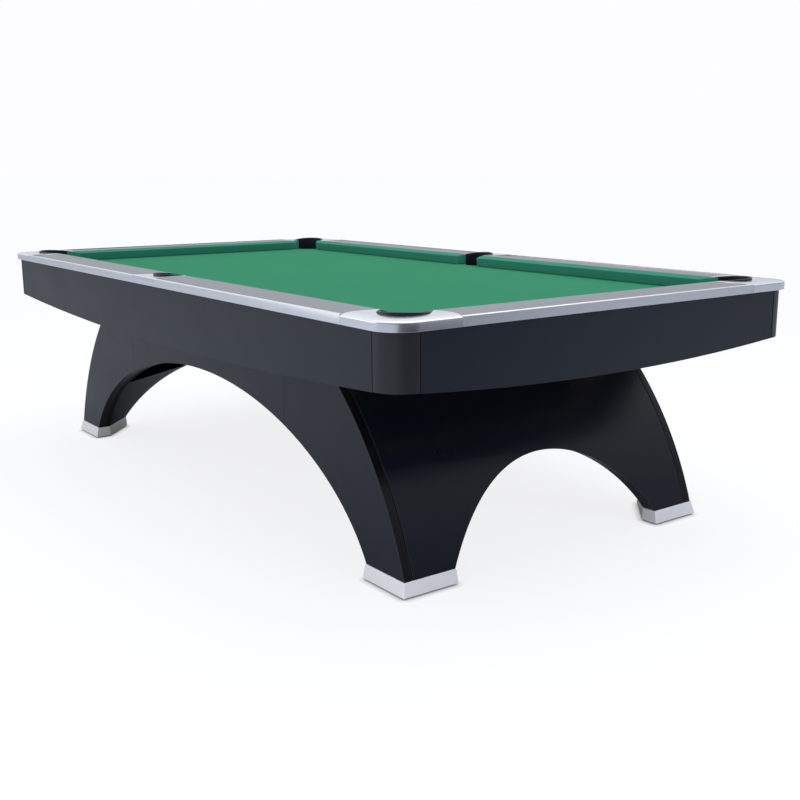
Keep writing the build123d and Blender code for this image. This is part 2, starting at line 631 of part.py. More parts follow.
# ---- Feet ----
def make_feet():
    """Cast shoes under the legs, solid blocks inside them and levelling feet that slide down."""
    board_y = BASE_HALF_WIDTH - SIDE_PANEL_THICKNESS - SIDE_BOARD_THICKNESS
    leg_x = leg_arc_x(SHOE_TOP)
    side_x = long_arch_x(SHOE_TOP)
    end_x = leg_arc_x(SHOE_TOP, END_PANEL_THICKNESS)
    end_y = end_arch_y(SHOE_TOP)

    def shoe_outline(outward, inward):
        return polygon(
            (leg_x + outward, BASE_HALF_WIDTH + outward),
            (side_x - inward, BASE_HALF_WIDTH + outward),
            (side_x - inward, board_y - inward),
            (end_x - inward, end_y - inward),
            (leg_x + outward, end_y - inward),
        )

    foot = Pos(0, 0, SHOE_BOTTOM) * shoe_outline(SHOE_SPREAD, SHOE_INNER_SPREAD)
    collar = Pos(0, 0, SHOE_TOP) * shoe_outline(SHOE_LEDGE, SHOE_INNER_LEDGE)
    shoe = loft([foot, collar], ruled=True)
    recess = rod(FOOT_X, FOOT_Y, PAD_RADIUS + RECESS_CLEARANCE, 0, PAD_HEIGHT + RECESS_ROOM)
    bore = rod(FOOT_X, FOOT_Y, STUD_RADIUS + STUD_CLEARANCE, 0, PAD_HEIGHT + STUD_LENGTH + RECESS_CLEARANCE)
    shoe = shoe - recess - bore
    for name, signs in QUADRANTS.items():
        nodes["foot_shoe_" + name] = placed(shoe, *signs)

    block_x = (FOOT_X - FOOT_BLOCK_HALF, FOOT_X + FOOT_BLOCK_HALF)
    block = box(*block_x, FOOT_Y - FOOT_BLOCK_HALF, board_y, SHOE_TOP, SHOE_TOP + FOOT_BLOCK_HEIGHT) - bore
    nodes["foot_blocks"] = Compound(in_all_quadrants(block))

    stud = rod(FOOT_X, FOOT_Y, STUD_RADIUS, PAD_HEIGHT, PAD_HEIGHT + STUD_LENGTH)
    pad = rod(FOOT_X, FOOT_Y, PAD_RADIUS, 0, PAD_HEIGHT)
    for name, signs in QUADRANTS.items():
        nodes["levelling_foot_" + name] = placed(stud + pad, *signs)


make_bed()
make_subframe()
make_cushions()
make_rails()
make_castings()
make_pockets()
make_aprons()
make_fixings()
make_base()
make_feet()

os.makedirs("parts", exist_ok=True)
for name, shape in nodes.items():
    export_step(shape, "parts/" + name + ".step")
print(len(nodes), "nodes")
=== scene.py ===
import math

import bmesh
import bpy
from mathutils import Matrix, Vector


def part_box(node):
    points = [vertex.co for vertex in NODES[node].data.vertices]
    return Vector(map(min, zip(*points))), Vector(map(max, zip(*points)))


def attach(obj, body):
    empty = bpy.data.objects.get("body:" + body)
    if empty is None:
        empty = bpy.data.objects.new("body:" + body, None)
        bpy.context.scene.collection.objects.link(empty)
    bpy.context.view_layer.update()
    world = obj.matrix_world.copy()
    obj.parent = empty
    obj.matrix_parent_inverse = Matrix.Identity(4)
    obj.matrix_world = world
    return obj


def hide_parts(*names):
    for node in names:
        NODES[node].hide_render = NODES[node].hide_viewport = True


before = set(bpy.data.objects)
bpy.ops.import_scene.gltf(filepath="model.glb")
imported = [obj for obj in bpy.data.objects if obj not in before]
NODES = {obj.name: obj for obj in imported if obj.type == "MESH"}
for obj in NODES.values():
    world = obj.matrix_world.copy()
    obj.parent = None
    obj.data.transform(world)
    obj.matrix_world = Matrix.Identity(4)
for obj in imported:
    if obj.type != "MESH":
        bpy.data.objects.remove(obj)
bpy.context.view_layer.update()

BODY = "table"
MM = 0.001
QUADRANTS = {"front_right": (1, -1), "back_right": (1, 1), "front_left": (-1, -1), "back_left": (-1, 1)}

# ---- Places, read from the frame ----
CUSHION_LOW, CUSHION_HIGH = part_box("cushion_back_right")
END_CUSHION_LOW, END_CUSHION_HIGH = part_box("cushion_end_right")
BED_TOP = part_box("bed_cloth")[1].z
NOSE_Y = CUSHION_LOW.y
NOSE_X = END_CUSHION_LOW.x
CUSHION_DEPTH = CUSHION_HIGH.y - CUSHION_LOW.y
CUSHION_RISE = CUSHION_HIGH.z - BED_TOP
CORNER_FACING = math.tan(math.radians(38))    # slant of a cushion's end at a corner pocket
SIDE_FACING = math.tan(math.radians(14))      # and at a side pocket

# ---- Mesh limits ----
HARD_EDGE = math.radians(32)    # sharper edges are rounded
FLAT_LIMIT = math.radians(0.2)  # faces closer than this to one plane become one face
CREASE = 40                     # degrees; shading is smooth across gentler edges
CUSHION_CREASE = 50
WELD = 0.01 * MM
CUT_SNAP = 0.001 * MM
TOP_BAND = 1.0 * MM             # what lies this near a piece's highest point is its top

# ---- Shader details ----
NOISE_LOW, NOISE_HIGH = 0.3, 0.7    # the middle of a noise's range, where nearly all of it lies
MIX_FIRST, MIX_SECOND = 6, 7        # a Mix node's colour inputs
MIX_RESULT = 2                      # and its colour output


# ---- Material building blocks ----
def new_material(name, sockets):
    """A Principled material with values set straight on the shader's own sockets."""
    material = bpy.data.materials.new(name)
    material.use_nodes = True
    shader = material.node_tree.nodes["Principled BSDF"]
    for socket, value in sockets.items():
        shader.inputs[socket].default_value = value
    return material


def add(material, kind, inputs, **settings):
    """Adds a node; an input is a value or another node's output."""
    tree = material.node_tree
    node = tree.nodes.new(kind)
    for key, value in settings.items():
        setattr(node, key, value)
    for key, value in inputs.items():
        if isinstance(value, bpy.types.NodeSocket):
            tree.links.new(value, node.inputs[key])
        else:
            node.inputs[key].default_value = value
    return node


def wire(material, socket, output):
    """Links a node's output to a socket of the material's shader."""
    shader = material.node_tree.nodes["Principled BSDF"]
    material.node_tree.links.new(output, shader.inputs[socket])


def places(material, stretch=(1, 1, 1)):
    """Coordinates in metres in the table's frame, stretched."""
    coordinates = add(material, "ShaderNodeTexCoord", {})
    return add(
        material, "ShaderNodeMapping", {"Vector": coordinates.outputs["Object"], "Scale": stretch}
    ).outputs["Vector"]


def noise(material, scale, stretch=(1, 1, 1), detail=3.0, roughness=0.55):
    """Soft random variation, with about this many changes to the metre."""
    inputs = {"Vector": places(material, stretch), "Scale": scale, "Detail": detail, "Roughness": roughness}
    return add(material, "ShaderNodeTexNoise", inputs).outputs["Fac"]


def threads(material, scale, direction):
    """Parallel ridges across X or Y, as threads in a weave."""
    inputs = {"Vector": places(material), "Scale": scale, "Distortion": 0.6, "Detail": 2.0}
    return add(material, "ShaderNodeTexWave", inputs, bands_direction=direction).outputs["Fac"]


def spread(material, factor, low, high):
    """Maps the middle of a noise's range to low..high."""
    inputs = {"Value": factor, "From Min": NOISE_LOW, "From Max": NOISE_HIGH, "To Min": low, "To Max": high}
    return add(material, "ShaderNodeMapRange", inputs).outputs["Result"]


def blend_colour(material, factor, first, second):
    """Goes from the first colour to the second with a noise; each may be another node's output."""
    node = add(material, "ShaderNodeMix", {}, data_type="RGBA")
    tree = material.node_tree
    tree.links.new(spread(material, factor, 0.0, 1.0), node.inputs["Factor"])
    for index, value in ((MIX_FIRST, first), (MIX_SECOND, second)):
        if isinstance(value, bpy.types.NodeSocket):
            tree.links.new(value, node.inputs[index])
        else:
            node.inputs[index].default_value = (*value, 1.0)
    return node.outputs[MIX_RESULT]


def bump(material, height, distance, strength):
    """Surface relief of a noise, so deep."""
    inputs = {"Height": height, "Distance": distance, "Strength": strength}
    return add(material, "ShaderNodeBump", inputs).outputs["Normal"]


def combined(material, first, second, operation="ADD"):
    """Two values added, or combined by another operation."""
    return add(material, "ShaderNodeMath", {0: first, 1: second}, operation=operation).outputs["Value"]


def shade(colour, factor):
    """A colour made lighter or darker."""
    return tuple(channel * factor for channel in colour)


# ---- Materials ----
def cloth_material(name, colour):
    """Worsted billiard cloth: fine crossed threads, soft fibres and slow changes of shade."""
    tint = (*shade(colour, 2.0), 1.0)
    material = new_material(
        name, {"Specular IOR Level": 0.04, "Sheen Weight": 0.08, "Sheen Roughness": 0.5, "Sheen Tint": tint}
    )
    drift = noise(material, scale=2.2, detail=2.0)
    fibre = noise(material, scale=900.0, detail=4.0)
    fibre_tint = blend_colour(material, fibre, shade(colour, 0.90), shade(colour, 1.08))
    wire(material, "Base Color", blend_colour(material, drift, fibre_tint, shade(colour, 1.04)))
    wire(material, "Roughness", spread(material, fibre, low=0.78, high=0.95))
    warp, weft = [threads(material, scale=330.0, direction=axis) for axis in "XY"]
    relief = combined(material, combined(material, warp, weft, "MAXIMUM"), fibre)
    wire(material, "Normal", bump(material, relief, distance=0.12 * MM, strength=0.5))
    return material


def laminate_material(name, colour, roughness, gloss):
    """Satin laminate or lacquer: pebbled very finely, with slight patches of shade and shine."""
    material = new_material(name, {"Specular IOR Level": gloss})
    patches = noise(material, scale=5.0, detail=4.0)
    pebble = noise(material, scale=700.0, detail=2.0)
    grain = blend_colour(material, pebble, shade(colour, 0.88), shade(colour, 1.12))
    wire(material, "Base Color", blend_colour(material, patches, grain, shade(colour, 1.05)))
    wire(material, "Roughness", spread(material, patches, roughness - 0.03, roughness + 0.03))
    wire(material, "Normal", bump(material, pebble, distance=0.05 * MM, strength=0.35))
    return material


def cap_material(name, colour, stretch):
    """Grey rail laminate with faint fine streaks along the rail."""
    material = new_material(name, {"Metallic": 0.35})
    streaks = noise(material, scale=60.0, stretch=stretch, detail=5.0, roughness=0.7)
    pebble = noise(material, scale=1200.0, detail=2.0)
    wire(material, "Base Color", blend_colour(material, streaks, shade(colour, 0.93), shade(colour, 1.07)))
    wire(material, "Roughness", spread(material, streaks, low=0.30, high=0.37))
    wire(material, "Normal", bump(material, pebble, distance=0.04 * MM, strength=0.4))
    return material


def metal_material(name, colour, roughness, fineness, stretch, depth, metallic):
    """Metal with a brushed or cast grain in its shine, colour and surface."""
    material = new_material(name, {"Metallic": metallic})
    grain = noise(material, scale=fineness, stretch=stretch, detail=6.0, roughness=0.65)
    smudge = noise(material, scale=9.0)
    brushed = blend_colour(material, grain, shade(colour, 0.93), shade(colour, 1.03))
    wire(material, "Base Color", blend_colour(material, smudge, brushed, shade(colour, 0.98)))
    fine_change = spread(material, grain, low=-0.05, high=0.05)
    broad_change = spread(material, smudge, low=-0.02, high=0.02)
    wire(material, "Roughness", combined(material, combined(material, fine_change, broad_change), roughness))
    wire(material, "Normal", bump(material, grain, distance=depth, strength=0.5))
    return material


def moulded_material(name, colour, roughness):
    """Moulded rubber or plastic with a leathery grain."""
    material = new_material(name, {"Specular IOR Level": 0.5})
    grain = add(
        material, "ShaderNodeTexVoronoi", {"Vector": places(material), "Scale": 650.0}, feature="SMOOTH_F1"
    ).outputs["Distance"]
    drift = noise(material, scale=14.0)
    wire(material, "Base Color", blend_colour(material, drift, shade(colour, 0.85), shade(colour, 1.15)))
    wire(material, "Roughness", spread(material, drift, roughness - 0.05, roughness + 0.05))
    wire(material, "Normal", bump(material, grain, distance=0.08 * MM, strength=0.4))
    return material


def wood_material(name, pale, dark, stretch):
    """Planed timber or plywood: long grain lines that are also slightly raised."""
    material = new_material(name, {"Specular IOR Level": 0.3})
    grain = noise(material, scale=18.0, stretch=stretch, detail=8.0, roughness=0.7)
    pores = noise(material, scale=160.0, stretch=stretch)
    lines = blend_colour(material, grain, pale, dark)
    wire(material, "Base Color", blend_colour(material, pores, lines, shade(pale, 0.92)))
    wire(material, "Roughness", spread(material, grain, low=0.54, high=0.68))
    wire(material, "Normal", bump(material, pores, distance=0.2 * MM, strength=0.5))
    return material


def slate_material(name, dark, pale):
    """Cleft stone, layered in its height."""
    material = new_material(name, {"Specular IOR Level": 0.35})
    cleft = noise(material, scale=22.0, stretch=(1, 1, 6), detail=9.0, roughness=0.7)
    wire(material, "Base Color", blend_colour(material, cleft, dark, pale))
    wire(material, "Roughness", spread(material, cleft, low=0.55, high=0.75))
    wire(material, "Normal", bump(material, cleft, distance=0.4 * MM, strength=0.5))
    return material


ALONG_X = (0.02, 1, 1)    # draws a grain out along X
ALONG_Y = (1, 0.02, 1)
ANY_WAY = (1, 1, 1)
PLANK_X = (0.06, 1, 1)
PLANK_Y = (1, 0.06, 1)
PLIES = (0.10, 1, 14)     # thin layers in the height
TRIM_COLOUR = (0.80, 0.81, 0.83)
CAP_COLOUR = (0.165, 0.165, 0.172)
PALE_PINE, DARK_PINE = (0.62, 0.45, 0.27), (0.42, 0.27, 0.14)
PALE_PLY, DARK_PLY = (0.60, 0.46, 0.30), (0.40, 0.27, 0.15)
PALE_OAK, DARK_OAK = (0.34, 0.20, 0.11), (0.20, 0.11, 0.06)
DARK_SLATE, PALE_SLATE = (0.13, 0.14, 0.15), (0.21, 0.22, 0.24)

CLOTHS = {
    "bed_cloth": (0.035, 0.236, 0.116),
    # the cushions' cloth is the bed's cloth made bluer and a little paler: painted cool shade for the
    # cushions' shaded faces
    "cushion_cloth": (0.048, 0.252, 0.156),
}
METALS = {    # colour, roughness, grains to the metre, direction, depth, share of metal
    "trim_x": (TRIM_COLOUR, 0.34, 900.0, ALONG_X, 0.03 * MM, 1.0),
    "trim_y": (TRIM_COLOUR, 0.34, 900.0, ALONG_Y, 0.03 * MM, 1.0),
    "casting": ((0.82, 0.83, 0.86), 0.19, 700.0, ANY_WAY, 0.02 * MM, 1.0),
    "shoe": ((0.95, 0.92, 0.83), 0.32, 500.0, ANY_WAY, 0.10 * MM, 0.10),
    # a paler, non-metal copy of the shoe's metal for its rounded edges: a painted highlight
    "shoe_edge": ((0.99, 0.98, 0.94), 0.25, 500.0, ANY_WAY, 0.05 * MM, 0.0),
    "zinc": ((0.55, 0.56, 0.58), 0.42, 300.0, ANY_WAY, 0.05 * MM, 1.0),
}
CAPS = {
    "cap_x": (CAP_COLOUR, ALONG_X),
    "cap_y": (CAP_COLOUR, ALONG_Y),
}
MOULDINGS = {    # colour, roughness
    "liner": ((0.010, 0.012, 0.018), 0.42),
    "cup": ((0.008, 0.008, 0.009), 0.6),
    "bracket": ((0.030, 0.030, 0.032), 0.45),
}
LAMINATES = {    # colour, roughness, gloss
    "apron_corner": ((0.013, 0.0135, 0.0155), 0.40, 0.5),
    "apron": ((0.008, 0.011, 0.015), 0.37, 0.34),
    "base_panel": ((0.004, 0.006, 0.010), 0.36, 0.36),
    "edge_band": ((0.0015, 0.0022, 0.0035), 0.30, 0.32),
    "end_panel": ((0.0022, 0.0046, 0.0088), 0.30, 0.38),
    "inner_board": ((0.0015, 0.0025, 0.0045), 0.50, 0.25),
    # pale rounding along the aprons' long edges: a painted highlight
    "panel_edge": ((0.085, 0.095, 0.110), 0.32, 0.5),
    # paler than the dark base panels, for their rounded edges: a painted highlight
    "dark_edge": ((0.020, 0.023, 0.028), 0.30, 0.5),
    # near-black, dull rounding at the seams between aprons and corner pieces: painted shade in the gaps
    "seam_edge": ((0.0010, 0.0010, 0.0012), 0.60, 0.10),
}
WOODS = {    # pale colour, dark colour, direction of the grain
    "beam_x": (PALE_PINE, DARK_PINE, PLANK_X),
    "beam_y": (PALE_PINE, DARK_PINE, PLANK_Y),
    "plywood": (PALE_PLY, DARK_PLY, PLIES),
    "hardwood": (PALE_OAK, DARK_OAK, PLANK_X),
}
LOOKS = {"slate": slate_material("slate", DARK_SLATE, PALE_SLATE)}
for look_name, cloth_colour in CLOTHS.items():
    LOOKS[look_name] = cloth_material(look_name, cloth_colour)
for make_material, recipes in (
    (metal_material, METALS),
    (cap_material, CAPS),
    (moulded_material, MOULDINGS),
    (laminate_material, LAMINATES),
    (wood_material, WOODS),
):
    for look_name, recipe in recipes.items():
        LOOKS[look_name] = make_material(look_name, *recipe)


# ---- Pieces ----
def link_piece(mesh, name, look, body=BODY):
    """Puts a mesh in the scene as a piece that rides on a body."""
    piece = bpy.data.objects.new(name, mesh)
    bpy.context.scene.collection.objects.link(piece)
    mesh.materials.clear()
    mesh.materials.append(LOOKS[look])
    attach(piece, body)
    return piece


def smooth_mesh(shape, name, sharp_angle):
    """A mesh from a bmesh, shaded smooth except across edges sharper than the angle in degrees."""
    bmesh.ops.recalc_face_normals(shape, faces=shape.faces)
    mesh = bpy.data.meshes.new(name)
    shape.to_mesh(mesh)
    shape.free()
    for polygon in mesh.polygons:
        polygon.use_smooth = True
    mesh.set_sharp_from_angle(angle=math.radians(sharp_angle))
    return mesh


def copied_shape(node):
    """A welded copy of a CAD node's mesh, with flat areas joined into single faces."""
    shape = bmesh.new()
    shape.from_mesh(NODES[node].data)
    bmesh.ops.remove_doubles(shape, verts=shape.verts, dist=WELD)
    bmesh.ops.dissolve_limit(shape, angle_limit=FLAT_LIMIT, verts=shape.verts, edges=shape.edges)
    return shape


def add_bevel(piece, radius, steps=3, edge_look=None):
    """Rounds a piece's hard edges; edge_look gives the rounding its own material, a painted highlight or
    painted shade.
    """
    bevel = piece.modifiers.new("rounded_edges", "BEVEL")
    if edge_look:
        piece.data.materials.append(LOOKS[edge_look])
        bevel.material = 1
    bevel.width = radius
    bevel.segments = steps
    bevel.limit_method = "ANGLE"
    bevel.angle_limit = HARD_EDGE
    bevel.use_clamp_overlap = False
    bevel.harden_normals = True
    return piece


def rounded_copy(node, look, radius, steps=3, edge_look=None, body=BODY):
    """A piece in a CAD node's place, with its hard edges rounded."""
    mesh = smooth_mesh(copied_shape(node), node + "_look", CREASE)
    piece = link_piece(mesh, node + "_look", look, body)
    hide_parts(node)
    return add_bevel(piece, radius, steps, edge_look)


def round_sharp_edges(shape, radius, steps, chosen=lambda edge: True, look=-1):
    """Rounds the chosen hard edges of a bmesh; look is the material index of the rounding."""
    sharp = [
        edge for edge in shape.edges
        if len(edge.link_faces) == 2 and edge.calc_face_angle() > HARD_EDGE and chosen(edge)
    ]
    bmesh.ops.bevel(
        shape, geom=sharp, offset=radius, segments=steps, profile=0.5, affect="EDGES",
        clamp_overlap=False, material=look,
    )


def keep_faces_flat(piece):
    """Shades a piece's wide faces flat up to their rounded edges."""
    weights = piece.modifiers.new("flat_faces", "WEIGHTED_NORMAL")
    weights.keep_sharp = True


UPRIGHT = 0.9


def is_upright(edge):
    """Whether an edge runs up rather than along."""
    along = edge.verts[1].co - edge.verts[0].co
    return abs(along.z) > UPRIGHT * along.length


def join_rings(shape, rings):
    """Faces between rings of vertices, each ring to the next, and over the two open ends."""
    count = len(rings[0])
    for first, second in zip(rings, rings[1:]):
        for index in range(count):
            following = (index + 1) % count
            shape.faces.new((first[index], first[following], second[following], second[index]))
    shape.faces.new(rings[0])
    shape.faces.new(rings[-1])


def finish_node(node, look):
    """Gives a CAD node that stays its procedural material."""
    mesh = NODES[node].data
    mesh.materials.clear()
    mesh.materials.append(LOOKS[look])


# ---- Cushions ----
def rounded_outline(points, steps=5):
    """A closed outline from (x, y, radius) points, each corner turned into an arc-like curve."""
    outline = []
    count = len(points)
    for index, (x, y, radius) in enumerate(points):
        here = Vector((x, y))
        before = Vector(points[index - 1][:2]) - here
        after = Vector(points[(index + 1) % count][:2]) - here
        first = here + before.normalized() * radius
        last = here + after.normalized() * radius
        for step in range(steps + 1):
            t = step / steps
            outline.append(first * (1 - t) ** 2 + here * 2 * t * (1 - t) + last * t ** 2)
    return outline


NOSE_BELOW_TOP = 7.5 * MM
NOSE_RADIUS = 1.6 * MM
UNDERCUT = 6.0 * MM           # the nose stands this far in front of the cushion's foot
UNDERCUT_RADIUS = 3.0 * MM
CLOTH_GAP = 0.4 * MM          # clear of the bed below and the cap behind
BACK_BOTTOM_RADIUS = 1.0 * MM
BACK_TOP_RADIUS = 1.6 * MM
SLOPE_DEPTH = 24.0 * MM       # the top slopes gently to this depth, and down to the nose from there
SLOPE_DROP = 1.4 * MM
SLOPE_RADIUS = 12.0 * MM


def cushion_outline():
    """(depth from the nose line, height above the bed) round a cushion's cloth."""
    back = CUSHION_DEPTH - CLOTH_GAP
    return rounded_outline([
        (0.0, CUSHION_RISE - NOSE_BELOW_TOP, NOSE_RADIUS),
        (UNDERCUT, CLOTH_GAP, UNDERCUT_RADIUS),
        (back, CLOTH_GAP, BACK_BOTTOM_RADIUS),
        (back, CUSHION_RISE, BACK_TOP_RADIUS),
        (SLOPE_DEPTH, CUSHION_RISE - SLOPE_DROP, SLOPE_RADIUS),
    ])


END_RINGS = (    # size of the outline, distance from the cushion's end
    (0.90, 0.0),
    (0.955, 0.5 * MM),
    (0.985, 1.4 * MM),
    (1.0, 3.0 * MM),
)
PLEAT_SPACING = 3.0 * MM
PLEAT_COLUMNS = range(2, 14)
MIDDLE_SHARES = (0.2, 0.4, 0.6, 0.8)
PLEAT_HEIGHT = 0.9 * MM
PLEAT_START = 0.6             # the folds begin at this share of the cushion's height
PLEAT_FADE = 13.0 * MM
PLEAT_PITCH = 7.0 * MM


def pleat(depth, height, to_end):
    """The cloth's lift, 0 or below, in the folds where it is pulled over a cushion's end."""
    top_share = max(0.0, height / CUSHION_RISE - PLEAT_START) / (1 - PLEAT_START)
    wave = math.sin(2 * math.pi * depth / PLEAT_PITCH)
    return PLEAT_HEIGHT * top_share * (wave - 1) / 2 * math.exp(-to_end / PLEAT_FADE)


def cushion_mesh(name, start, finish, place):
    """Cloth pulled over a rubber cushion. start and finish give its two ends for a depth from the nose."""
    outline = cushion_outline()
    centre = sum(outline, Vector((0, 0))) / len(outline)
    # each ring's size, its share of the length, and its distance from that place
    first_end = [(shrink, 0.0, gap) for shrink, gap in END_RINGS]
    first_end += [(1.0, 0.0, column * PLEAT_SPACING) for column in PLEAT_COLUMNS]
    middle = [(1.0, share, 0.0) for share in MIDDLE_SHARES]
    last_end = [(shrink, 1.0, -gap) for shrink, _, gap in reversed(first_end)]
    shape = bmesh.new()
    rings = []
    for shrink, share, gap in first_end + middle + last_end:
        ring = []
        for point in outline:
            depth, height = centre + (point - centre) * shrink
            low, high = start(depth), finish(depth)
            along = low + (high - low) * share + gap
            lift = pleat(depth, height, min(along - low, high - along))
            ring.append(shape.verts.new(place(along, depth, BED_TOP + height + lift)))
        rings.append(ring)
    join_rings(shape, rings)
    return smooth_mesh(shape, name, CUSHION_CREASE)


def make_cushions():
    side_end = CUSHION_LOW.x + SIDE_FACING * CUSHION_DEPTH
    corner_end = CUSHION_HIGH.x - CUSHION_DEPTH / CORNER_FACING
    end_reach = END_CUSHION_HIGH.y - CUSHION_DEPTH / CORNER_FACING

    def side_cut(depth):
        return side_end - SIDE_FACING * depth

    def corner_cut(depth):
        return corner_end + depth / CORNER_FACING

    def end_cut(depth):
        return end_reach + depth / CORNER_FACING

    pieces = []
    for name, (sign_x, sign_y) in QUADRANTS.items():
        def place(along, depth, height, sx=sign_x, sy=sign_y):
            return (sx * along, sy * (NOSE_Y + depth), height)

        pieces.append(("cushion_" + name, cushion_mesh(name, side_cut, corner_cut, place)))
    for name, sign in (("left", -1), ("right", 1)):
        def place(along, depth, height, sx=sign):
            return (sx * (NOSE_X + depth), along, height)

        mesh = cushion_mesh(name, lambda depth: -end_cut(depth), end_cut, place)
        pieces.append(("cushion_end_" + name, mesh))
    for node, mesh in pieces:
        piece = link_piece(mesh, node + "_cloth", "cushion_cloth")
        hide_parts(node)


# ---- Bed cloth ----
FOLD_RADIUS = 4.5 * MM
FOLD_DROP = 24.0 * MM
FOLD_STEPS = 6
FOLD_THICKNESS = 0.9 * MM
FOLD_SINK = 0.02 * MM         # keeps the strip's top just under the bed's


def fold_section():
    """(distance past the slate's edge, height) of the cloth as it turns down into a pocket."""
    top = BED_TOP - FOLD_SINK
    bottom = top - FOLD_DROP
    angles = [math.pi / 2 * step / FOLD_STEPS for step in range(FOLD_STEPS + 1)]
    outer = [
        (FOLD_RADIUS * math.sin(angle), top - FOLD_RADIUS * (1 - math.cos(angle))) for angle in angles
    ]
    inner_radius = FOLD_RADIUS - FOLD_THICKNESS
    inner = [
        (inner_radius * math.sin(angle), top - FOLD_RADIUS + inner_radius * math.cos(angle))
        for angle in reversed(angles)
    ]
    return outer + [(FOLD_RADIUS, bottom), (inner_radius, bottom)] + inner


def add_fold(shape, path):
    """Adds a turned-down strip to the bed cloth along (place, direction into the pocket) pairs."""
    rings = []
    for place, inward in path:
        rings.append([
            shape.verts.new(place + inward * distance + Vector((0, 0, height)))
            for distance, height in fold_section()
        ])
    join_rings(shape, rings)


CORNER_HOLE_INSET = 146.0 * MM    # the casting's outer faces to the hole's centre
CORNER_HOLE_RADIUS = 70.0 * MM
CORNER_SLOT_REACH = 46.0 * MM     # the hole's centre to the straight part of the bed's edge
SIDE_HOLE_INSET = 105.0 * MM
SIDE_HOLE_RADIUS = 60.0 * MM
SIDE_SLOT_REACH = 25.5 * MM
FOLD_LAP = 0.3 * MM               # how far the strip runs back under the bed cloth's edge
FOLD_MARGIN = 1.5 * MM            # how far its ends stay inside the slot's sides
FOLD_ARC_STEPS = 24


def fold_path(centre, outward, radius, reach):
    """The edge of the bed at a pocket: the hole's arc, with a straight run at each side."""
    sideways = Vector((-outward.y, outward.x, 0))
    widest = math.acos(reach / radius)
    path = []
    for step in range(FOLD_ARC_STEPS + 1):
        angle = widest * (2 * step / FOLD_ARC_STEPS - 1)
        inward = outward * math.cos(angle) - sideways * math.sin(angle)
        path.append((centre - inward * (radius + FOLD_LAP), inward))
    edge = centre - outward * (reach + FOLD_LAP)
    half_width = radius - FOLD_MARGIN
    first = (edge - sideways * half_width, outward)
    last = (edge + sideways * half_width, outward)
    return [first, *path, last]


def pocket_paths():
    """The folds' paths at all six pockets."""
    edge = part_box("corner_casting_back_right")[1]
    paths = []
    for sign_x, sign_y in QUADRANTS.values():
        outward = Vector((sign_x, sign_y, 0)).normalized()
        inset_x, inset_y = edge.x - CORNER_HOLE_INSET, edge.y - CORNER_HOLE_INSET
        centre = Vector((inset_x * sign_x, inset_y * sign_y, 0))
        paths.append(fold_path(centre, outward, CORNER_HOLE_RADIUS, CORNER_SLOT_REACH))
    for sign in (-1, 1):
        centre = Vector((0, sign * (edge.y - SIDE_HOLE_INSET), 0))
        paths.append(fold_path(centre, Vector((0, sign, 0)), SIDE_HOLE_RADIUS, SIDE_SLOT_REACH))
    return paths


def make_bed_cloth():
    """The bed's cloth, stretched flat and turned down into the pockets."""
    shape = copied_shape("bed_cloth")
    for path in pocket_paths():
        add_fold(shape, path)
    mesh = smooth_mesh(shape, "bed_cloth_sheet", CREASE)
    piece = link_piece(mesh, "bed_cloth_sheet", "bed_cloth")
    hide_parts("bed_cloth")


# ---- Rail caps ----
CAP_CUTS = 12
CAP_CROWN = 4.5 * MM          # how far the cap's outer edge lies below its middle
CAP_INNER_DIP = 0.5 * MM      # and its inner edge, over a short way
CAP_DIP_POWER = 8
CAP_EDGE_RADIUS = 0.5 * MM


def crowned_cap(node, axis, look):
    """A rail cap whose top bows gently down towards the metal trim."""
    low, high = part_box(node)
    inner, outer = sorted((low[axis], high[axis]), key=abs)
    normal = Vector((0, 0, 0))
    normal[axis] = 1
    shape = copied_shape(node)
    for index in range(1, CAP_CUTS):
        at = Vector((0, 0, 0))
        at[axis] = inner + (outer - inner) * index / CAP_CUTS
        everything = shape.verts[:] + shape.edges[:] + shape.faces[:]
        bmesh.ops.bisect_plane(shape, geom=everything, plane_co=at, plane_no=normal, dist=CUT_SNAP)
    for vertex in shape.verts:
        if vertex.co.z > high.z - TOP_BAND:
            share = (vertex.co[axis] - inner) / (outer - inner)
            vertex.co.z -= CAP_CROWN * share ** 2 + CAP_INNER_DIP * (1 - share) ** CAP_DIP_POWER
    piece = link_piece(smooth_mesh(shape, node + "_look", CREASE), node + "_look", look)
    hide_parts(node)
    add_bevel(piece, CAP_EDGE_RADIUS, steps=2)


SHOULDER_WIDTH = 48.0 * MM
SHOULDER_DROP = 2.6 * MM
SHOULDER_CUT = 6.0 * MM       # the top is cut this finely to bend
CASTING_CORNER = 85.0 * MM    # radius of the casting's outer corner
CASTING_ROUND = 5.5 * MM      # the casting's rounded edge lies within this of its top
CASTING_EDGE_RADIUS = 0.8 * MM
TOP_FACING = 0.98


def cut_top(shape, top, plane_place, plane_normal):
    """Cuts a bmesh's top faces, and nothing else, along a plane."""
    faces = [
        face for face in shape.faces
        if face.normal.z > TOP_FACING and face.calc_center_median().z > top - TOP_BAND
    ]
    edges = {edge for face in faces for edge in face.edges}
    verts = {vertex for face in faces for vertex in face.verts}
    bmesh.ops.bisect_plane(
        shape, geom=[*verts, *edges, *faces], plane_co=plane_place, plane_no=plane_normal, dist=CUT_SNAP
    )


